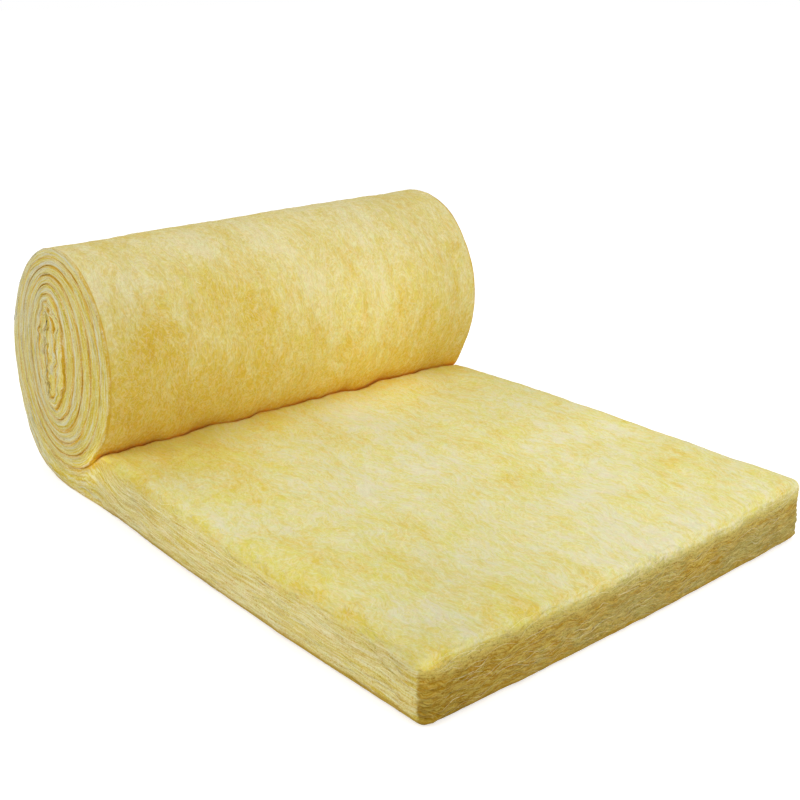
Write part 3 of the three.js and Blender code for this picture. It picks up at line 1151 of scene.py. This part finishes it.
# The whole wool surface, skin and cut faces, from the masks that the meshes carry.
surfaceLook = {
    "fray": ((11, 0.030), (45, 0.016), (170, 0.026)),  # how fine the skin frays, and how far
    "lap": (0.034, 0.010),  # it laps over the cut faces' upper edge, this far down
    "raggedNoise": ((50, 50, 130), 3, 0.6),
    "tornNoise": ((34, 34, 60), 3, 0.6),
    "low": (0.020, 0.010),  # painted shade: the lower edge is darker and golden up to here
    "coreRun": 0.4,
    "hueNoise": ((120, 170, 170), 4, 0.75),
    "wideHueNoise": ((28, 42, 42), 2, 0.6),
    "hue": 0.16,
}


def woolSurfaceGroup():
    tree, given, made = newGroup("woolSurface", {"Place": "Vector", "FaceTone": "Vector",
                                                 "CutTone": "Vector"})
    place = given["Place"]
    cut, warmth, loft = axes(tree, given["FaceTone"])
    seam, end, light = axes(tree, given["CutTone"])
    felt = placedGroup(tree, woolSkin, {"Place": place, "Warmth": warmth})
    # painted shade in and beside the crease
    creased = placedGroup(tree, creaseShadeTone, {"Place": place, "Colour": felt["Colour"]})
    along, _, depth = axes(tree, place)
    frayed = depth
    for scale, amount in surfaceLook["fray"]:
        fray = noiseAt(tree, place, (scale, scale, scale), 2, 0.6)
        frayed = nudged(tree, frayed, fray, amount)
    low, high = surfaceLook["lap"]
    lap = times(tree, ranged(tree, frayed, thickness - low, thickness - high), loft)
    cut = times(tree, cut, minus(tree, 1.0, lap))
    ragged = noiseAt(tree, place, *surfaceLook["raggedNoise"])
    end = ranged(tree, nudged(tree, end, ragged, 0.9), 0.3, 0.7)
    stack = placedGroup(tree, cutLayers, {"Place": place, "Loft": loft, "End": end,
                                          "Warmth": warmth})
    colour = blended(tree, cut, creased["Colour"], stack["Colour"])
    # a golden line runs round the roll's ends
    rim = times(tree, times(tree, cut, 3.0), minus(tree, 1.0, cut))
    rim = times(tree, rim, minus(tree, 1.0, loft))
    torn = ranged(tree, noiseAt(tree, place, *surfaceLook["tornNoise"]), 0.38, 0.6, 0.35, 1.15)
    colour = blended(tree, times(tree, rim, torn, clamp=True), colour, colours["woundLine"])
    # painted shade along the lower edge of the lofted cut faces
    paintedBottomShade = ranged(tree, mixed(tree, 0.35, depth, frayed), *surfaceLook["low"], 0, 0.8)
    paintedBottomShade = times(tree, times(tree, paintedBottomShade, loft), cut)
    colour = blended(tree, paintedBottomShade, colour, colours["bottomShadeGold"])
    inCore = ranged(tree, along, coreAlong, coreAlong + surfaceLook["coreRun"])
    seamShare = times(tree, ranged(tree, seam, 0.0, 0.5, 0, 0.95),
                      timesPlus(tree, inCore, -0.25, 1.0))
    seamColour = blended(tree, inCore, colours["seamGold"], colours["coreShade"])
    colour = blended(tree, seamShare, colour, seamColour)
    # single fibres are greener or redder than their neighbours
    hue = centred(tree, noiseAt(tree, place, *surfaceLook["hueNoise"]))
    hue = nudged(tree, hue, noiseAt(tree, place, *surfaceLook["wideHueNoise"]), 0.6)
    tint = joined(tree, timesPlus(tree, hue, surfaceLook["hue"], 1),
                  timesPlus(tree, hue, -surfaceLook["hue"], 1), 1)
    colour = vectors(tree, "MULTIPLY", colour, tint)
    # the lightness scales the colour: painted light and shade
    tree.links.new(scaled(tree, colour, light), made["Colour"])
    tree.links.new(mixed(tree, cut, felt["Height"], stack["Height"]), made["Height"])
    return tree


woolSurface = woolSurfaceGroup()


def surfaceNodes(tree):
    given = {}
    for name, layer in (("Place", "laidPlace"), ("FaceTone", "faceTone"), ("CutTone", "cutTone")):
        given[name] = addNode(tree, "ShaderNodeAttribute", attribute_name=layer).outputs["Vector"]
    return placedGroup(tree, woolSurface, given)


def newMaterial(name, settings):
    material = bpy.data.materials.new(name)
    material.use_nodes = True
    shader = material.node_tree.nodes["Principled BSDF"].inputs
    for title, value in settings.items():
        shader[title].default_value = value
    return material, material.node_tree, shader


def glassWoolMaterial():
    material, tree, shader = newMaterial("glassWool", {
        "Roughness": 0.95, "Specular IOR Level": 0.06, "Sheen Weight": 0.05, "Sheen Roughness": 0.6})
    found = surfaceNodes(tree)
    tree.links.new(found["Colour"], shader["Base Color"])
    bump = addNode(tree, "ShaderNodeBump", {"Strength": 0.7, "Distance": 0.004,
                                            "Height": found["Height"]})
    tree.links.new(bump.outputs[0], shader["Normal"])
    return material


glassWool = glassWoolMaterial()
woolBlanket.data.materials.append(glassWool)
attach(woolBlanket, "root")
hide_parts("glass_wool_blanket")
print("wool dressed")


# Loose strands, laid over the wool: each is a thin closed tube, flattened and half sunk, bent
# along its own short path. Those on the cut faces follow the layers.
strands = {
    "sides": 3,
    "flatness": 0.4,
    "tallest": 0.0005,
    "tip": 0.25,  # share of the radius left at both tips
    "sunk": 0.0003,
    "creaseGap": (0.085, 0.09),  # wisps keep this far from the crease, on the laid top and the roll
    "endShare": 0.4,  # of the cut curls
    "margin": (0.012, 0.052),  # cut curls keep this far from the upright edges
    "squeeze": 0.001,  # from the cut faces' upper and lower edges
}
strandPieces = {
    "laid_wisps": {"rings": 8, "doublings": 12, "length": (0.02, 0.09),
                   "radius": (0.0005, 0.0022), "lift": 0.0003, "swirl": 0.7,
                   "shade": (0.0, 0.9), "heading": (math.radians(22), 0.35), "seed": 11},
    "roll_wisps": {"rings": 8, "doublings": 12, "length": (0.012, 0.05),
                   "radius": (0.0004, 0.0014), "lift": 0.0003, "swirl": 0.9,
                   "shade": (0.0, 1.6), "heading": (0, 0.45), "seed": 23},
    "cut_curls": {"rings": 15, "doublings": 11, "length": (0.03, 0.13),
                  "radius": (0.0003, 0.0010), "lift": 0.0006, "swirl": 0.45,
                  "shade": (0.0, 1.7), "heading": (0, 0.05), "seed": 37},
    "end_curls": {"rings": 10, "doublings": 11, "length": (0.02, 0.09),
                  "radius": (0.0003, 0.0010), "lift": 0.0004, "swirl": 0.2,
                  "shade": (0.0, 0.9), "heading": (0, 0.08), "seed": 41},
}


def addStrands(kind):
    settings = strandPieces[kind]
    bm = bmesh.new()
    bmesh.ops.create_cone(bm, cap_ends=True, cap_tris=False, segments=strands["sides"],
                          radius1=1, radius2=1, depth=1)
    long = [e for e in bm.edges if abs(e.verts[0].co.z - e.verts[1].co.z) > 0.5]
    bmesh.ops.subdivide_edges(bm, edges=long, cuts=settings["rings"] - 2, use_grid_fill=True)
    numbered = bm.verts.layers.int.new("strand")
    for step in range(settings["doublings"]):
        made = bmesh.ops.duplicate(bm, geom=bm.verts[:] + bm.edges[:] + bm.faces[:])["geom"]
        for item in made:
            if isinstance(item, bmesh.types.BMVert):
                item[numbered] += 2 ** step
    return addPiece(kind, bm)


# Where each strand starts in the flat blanket, and the two axes that it runs in.
def strandStarts(kind, chance, count):
    laidGap, rollGap = strands["creaseGap"]
    if kind == "laid_wisps":
        start = [chance.uniform(0, nipAlong - laidGap, count),
                 chance.uniform(-halfBlanket, halfBlanket, count), np.full(count, thickness)]
        return np.stack(start, -1), 0, 1
    if kind == "roll_wisps":
        start = [chance.uniform(alongAt[floorColumns], creaseAlong - rollGap, count),
                 chance.uniform(-halfBlanket, halfBlanket, count), np.zeros(count)]
        return np.stack(start, -1), 0, 1
    side = np.where(chance.random(count) < 0.5, -halfBlanket, halfBlanket)
    if kind == "cut_curls":
        onEnd = chance.random(count) < strands["endShare"]
        along = np.where(onEnd, 0, chance.uniform(0, alongAt[nipColumn + 30], count))
        across = np.where(onEnd, chance.uniform(-halfBlanket, halfBlanket, count), side)
        start = [along, across, chance.uniform(0, thickness, count)]
        return np.stack(start, -1), np.where(onEnd, 1, 0), 2
    start = [chance.uniform(alongAt[nipColumn + 10], alongAt[-1], count), side,
             chance.uniform(0.03, 0.97, count) * thickness]
    return np.stack(start, -1), 0, 2


def strandPaths(kind, chance, count):
    settings = strandPieces[kind]
    rings = settings["rings"]
    length = chance.uniform(*settings["length"], count)
    start, runAxis, driftAxis = strandStarts(kind, chance, count)
    mean, spread = settings["heading"]
    heading = mean + chance.normal(0, spread, count)
    share = np.linspace(-0.5, 0.5, rings)
    bend = chance.normal(0, settings["swirl"], count)
    phase = chance.uniform(0, 2 * math.pi, count)
    angle = (heading[:, None] + bend[:, None] * share[None]
             + 0.6 * settings["swirl"] * np.sin(7 * share[None] + phase[:, None]))
    step = length[:, None] / (rings - 1)
    run = np.cumsum(np.cos(angle) * step, axis=1)
    drift = np.cumsum(np.sin(angle) * step, axis=1)
    paths = np.repeat(start[:, None, :], rings, axis=1)
    paths[np.arange(count), :, runAxis] += run - run.mean(axis=1, keepdims=True)
    paths[:, :, driftAxis] += drift - drift.mean(axis=1, keepdims=True)
    if kind == "cut_curls":
        # none bends round the upright edges
        least, most = strands["margin"]
        margin = least + (most - least) * chance.random(count)
        onEnd = (runAxis == 1)[:, None]
        limit = (halfBlanket - margin)[:, None]
        along, across = paths[:, :, 0], paths[:, :, 1]
        over = np.maximum(0, margin[:, None] - along.min(axis=1, keepdims=True))
        along += np.where(onEnd, 0, over)
        over = np.maximum(0, across.max(axis=1, keepdims=True) - limit)
        across -= np.where(onEnd, over, 0)
        over = np.maximum(0, -limit - across.min(axis=1, keepdims=True))
        across += np.where(onEnd, over, 0)
    paths[:, :, 0] = np.clip(paths[:, :, 0], 0, alongAt[-1])
    if driftAxis == 2:
        waves = np.array([layerWave(*p) for p in paths.reshape(-1, 3)]).reshape(count, rings)
        paths[:, :, 2] -= waves - waves.mean(axis=1, keepdims=True)
        edge = strands["squeeze"]
        paths[:, :, 2] = np.clip(paths[:, :, 2], edge, thickness - edge)
    return paths


def unit(values):
    return values / np.maximum(np.linalg.norm(values, axis=-1, keepdims=True), 1e-9)


# The wool under each point, found from outside: its place, outward direction and colour masks.
def settle(kind, ground, paths, rolled):
    spots, outward = rolled.copy(), np.empty_like(rolled)
    faces = np.zeros(len(rolled), dtype=int)
    flat = paths.reshape(-1, 3)
    for i, spot in enumerate(rolled):
        hit = None
        if "curls" in kind:
            onEnd = abs(flat[i, 1]) < halfBlanket - 0.001
            aim = Vector((1, 0, 0) if onEnd else (0, math.copysign(1, flat[i, 1]), 0))
            hit, normal, face, _ = ground["tree"].ray_cast(Vector(spot) + 0.06 * aim, -aim, 0.09)
        if hit is None:
            hit, normal, face, _ = ground["tree"].find_nearest(Vector(spot))
        spots[i], outward[i], faces[i] = hit, normal, face
    corners = ground["corners"][faces]
    gap = np.linalg.norm(ground["co"][corners] - spots[:, None], axis=2)
    weight = 1 / (gap + 1e-4)
    weight = (weight / weight.sum(axis=1, keepdims=True))[:, :, None]
    tones = [(ground[name][corners] * weight).sum(axis=1) for name in toneNames]
    return spots.reshape(paths.shape), unit(outward.reshape(paths.shape)), tones


def buildStrands(kind, ground):
    settings = strandPieces[kind]
    chance = np.random.default_rng(settings["seed"])
    count, rings = 2 ** settings["doublings"], settings["rings"]
    paths = strandPaths(kind, chance, count)
    rolled = rolledUp(paths.reshape(-1, 3))
    spots, outward, tones = settle(kind, ground, paths, rolled)
    share = np.linspace(0, 1, rings)
    arch = np.sin(math.pi * share)[None, :, None]
    lift = settings["lift"] * chance.uniform(0.2, 2.0, count)[:, None, None]
    centre = spots + outward * (lift * arch - strands["sunk"])
    forward = unit(np.gradient(centre, axis=1))
    sideways = unit(np.cross(forward, outward))
    low, high = settings["radius"]
    radius = (low * (high / low) ** chance.random(count))[:, None]
    radius = radius * (strands["tip"] + (1 - strands["tip"]) * np.sin(math.pi * share)[None] ** 0.6)
    shade = chance.uniform(*settings["shade"], count)

    piece = addStrands(kind)
    mesh = piece.data
    points = np.array([v.co for v in mesh.vertices])
    number = np.array([v.value for v in mesh.attributes["strand"].data])
    ring = np.round((points[:, 2] + 0.5) * (rings - 1)).astype(int)
    reach = radius[number, ring][:, None]
    across = points[:, :1] * sideways[number, ring]
    upward = points[:, 1:2] * outward[number, ring]
    tall = np.minimum(strands["flatness"] * reach, strands["tallest"])
    placed = centre[number, ring] + reach * across + tall * upward
    placed[:, 2] = np.maximum(placed[:, 2], 0.0004)
    mesh.vertices.foreach_set("co", placed.astype(np.float32).ravel())
    bm = bmesh.new()
    bm.from_mesh(mesh)
    bmesh.ops.recalc_face_normals(bm, faces=bm.faces)
    bm.to_mesh(mesh)
    bm.free()
    for name, tone in zip(toneNames, tones):
        writeLayer(mesh, name, tone[number * rings + ring])
    mesh.attributes.new("shade", "FLOAT", "POINT").data.foreach_set("value", shade[number])
    mesh.shade_smooth()
    mesh.normals_split_custom_set_from_vertices(outward[number, ring].tolist())
    return piece


def strandMaterial():
    material, tree, shader = newMaterial("woolStrand", {"Roughness": 0.9, "Specular IOR Level": 0.06})
    found = surfaceNodes(tree)
    shade = addNode(tree, "ShaderNodeAttribute", attribute_name="shade").outputs["Fac"]
    paler = ranged(tree, shade, 0.4, 2.0, 0.0, 0.45)
    colour = blended(tree, paler, found["Colour"], colours["wisp"])
    lighter = ranged(tree, shade, 0.0, 1.0, 0.95, 1.06)
    tree.links.new(scaled(tree, colour, lighter), shader["Base Color"])
    return material


woolStrand = strandMaterial()
toneNames = ("laidPlace", "faceTone", "cutTone")


def groundOf(piece):
    mesh = piece.data
    ground = {"tree": BVHTree.FromObject(piece, bpy.context.evaluated_depsgraph_get())}
    ground["co"] = np.array([v.co for v in mesh.vertices])
    corners = [list(p.vertices) for p in mesh.polygons]
    ground["corners"] = np.array([c + [c[-1]] * (4 - len(c)) for c in corners])
    for name in toneNames:
        ground[name] = np.array([v.vector for v in mesh.attributes[name].data])
    return ground


wool = groundOf(woolBlanket)
for kind in strandPieces:
    piece = buildStrands(kind, wool)
    piece.data.materials.append(woolStrand)
    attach(piece, "root")
    print(kind, sum(len(p.vertices) - 2 for p in piece.data.polygons), "triangles")

# Studio: a pale floor, soft lamps and the camera.
studio = {
    "floorSize": 60,
    "floorColour": (0.82, 0.82, 0.82, 1),
    "floorLift": 0.51,
    "ambient": 0.62,
    # each lamp's place, the point it faces, its size and its power
    "lamps": {
        "key": ((-2.0, -7.6, 3.6), (0, 0, 0.2), (4.4, 3.2), 250),
        "overhead": ((0.6, 2.2, 4.6), (0.3, 0.3, 0), (3.6, 3.6), 35),
        "fill": ((4.4, 0.6, 2.6), (0, 0, 0.3), (2.6, 2.2), 72),
    },
}


def buildFloor():
    bm = bmesh.new()
    bmesh.ops.create_grid(bm, x_segments=1, y_segments=1, size=studio["floorSize"] / 2)
    floor = addPiece("studio_floor", bm)
    material, tree, shader = newMaterial("studioFloor", {
        "Base Color": studio["floorColour"], "Roughness": 1, "Specular IOR Level": 0,
        "Emission Color": (1, 1, 1, 1)})
    lift = times(tree, seenDirectly(tree), studio["floorLift"])
    tree.links.new(lift, shader["Emission Strength"])
    floor.data.materials.append(material)


def seenDirectly(tree):
    rays = addNode(tree, "ShaderNodeLightPath").outputs
    seen = maths(tree, "MAXIMUM", rays["Is Camera Ray"], rays["Is Glossy Ray"])
    return maths(tree, "MAXIMUM", seen, rays["Is Transmission Ray"])


def buildWorld():
    world = bpy.data.worlds.new("studio")
    bpy.context.scene.world = world
    world.use_nodes = True
    tree = world.node_tree
    background = tree.nodes["Background"]
    background.inputs["Color"].default_value = (1, 1, 1, 1)
    seen = seenDirectly(tree)
    strength = timesPlus(tree, seen, 1 - studio["ambient"], studio["ambient"])
    tree.links.new(strength, background.inputs["Strength"])


def addLamp(name, place, target, size, power):
    data = bpy.data.lights.new(name, "AREA")
    data.shape = "RECTANGLE"
    data.size, data.size_y = size
    data.energy = power
    lamp = addObject(name, data)
    lamp.location = place
    lamp.rotation_euler = (Vector(target) - Vector(place)).to_track_quat("-Z", "Y").to_euler()


buildFloor()
buildWorld()
for name, settings in studio["lamps"].items():
    addLamp(name, *settings)

cameraSettings = {"azimuth": 49.5, "elevation": 20.04, "lens": 54.53, "sensor": 36,
                  "place": (2.21674, -1.8385, 1.3146)}
cameraData = bpy.data.cameras.new("camera")
cameraData.lens = cameraSettings["lens"]
cameraData.sensor_width = cameraSettings["sensor"]
camera = addObject("camera", cameraData)
camera.location = cameraSettings["place"]
camera.rotation_euler = (math.radians(90 - cameraSettings["elevation"]), 0,
                         math.radians(cameraSettings["azimuth"]))
bpy.context.scene.camera = camera
bpy.context.scene.view_settings.view_transform = "Standard"
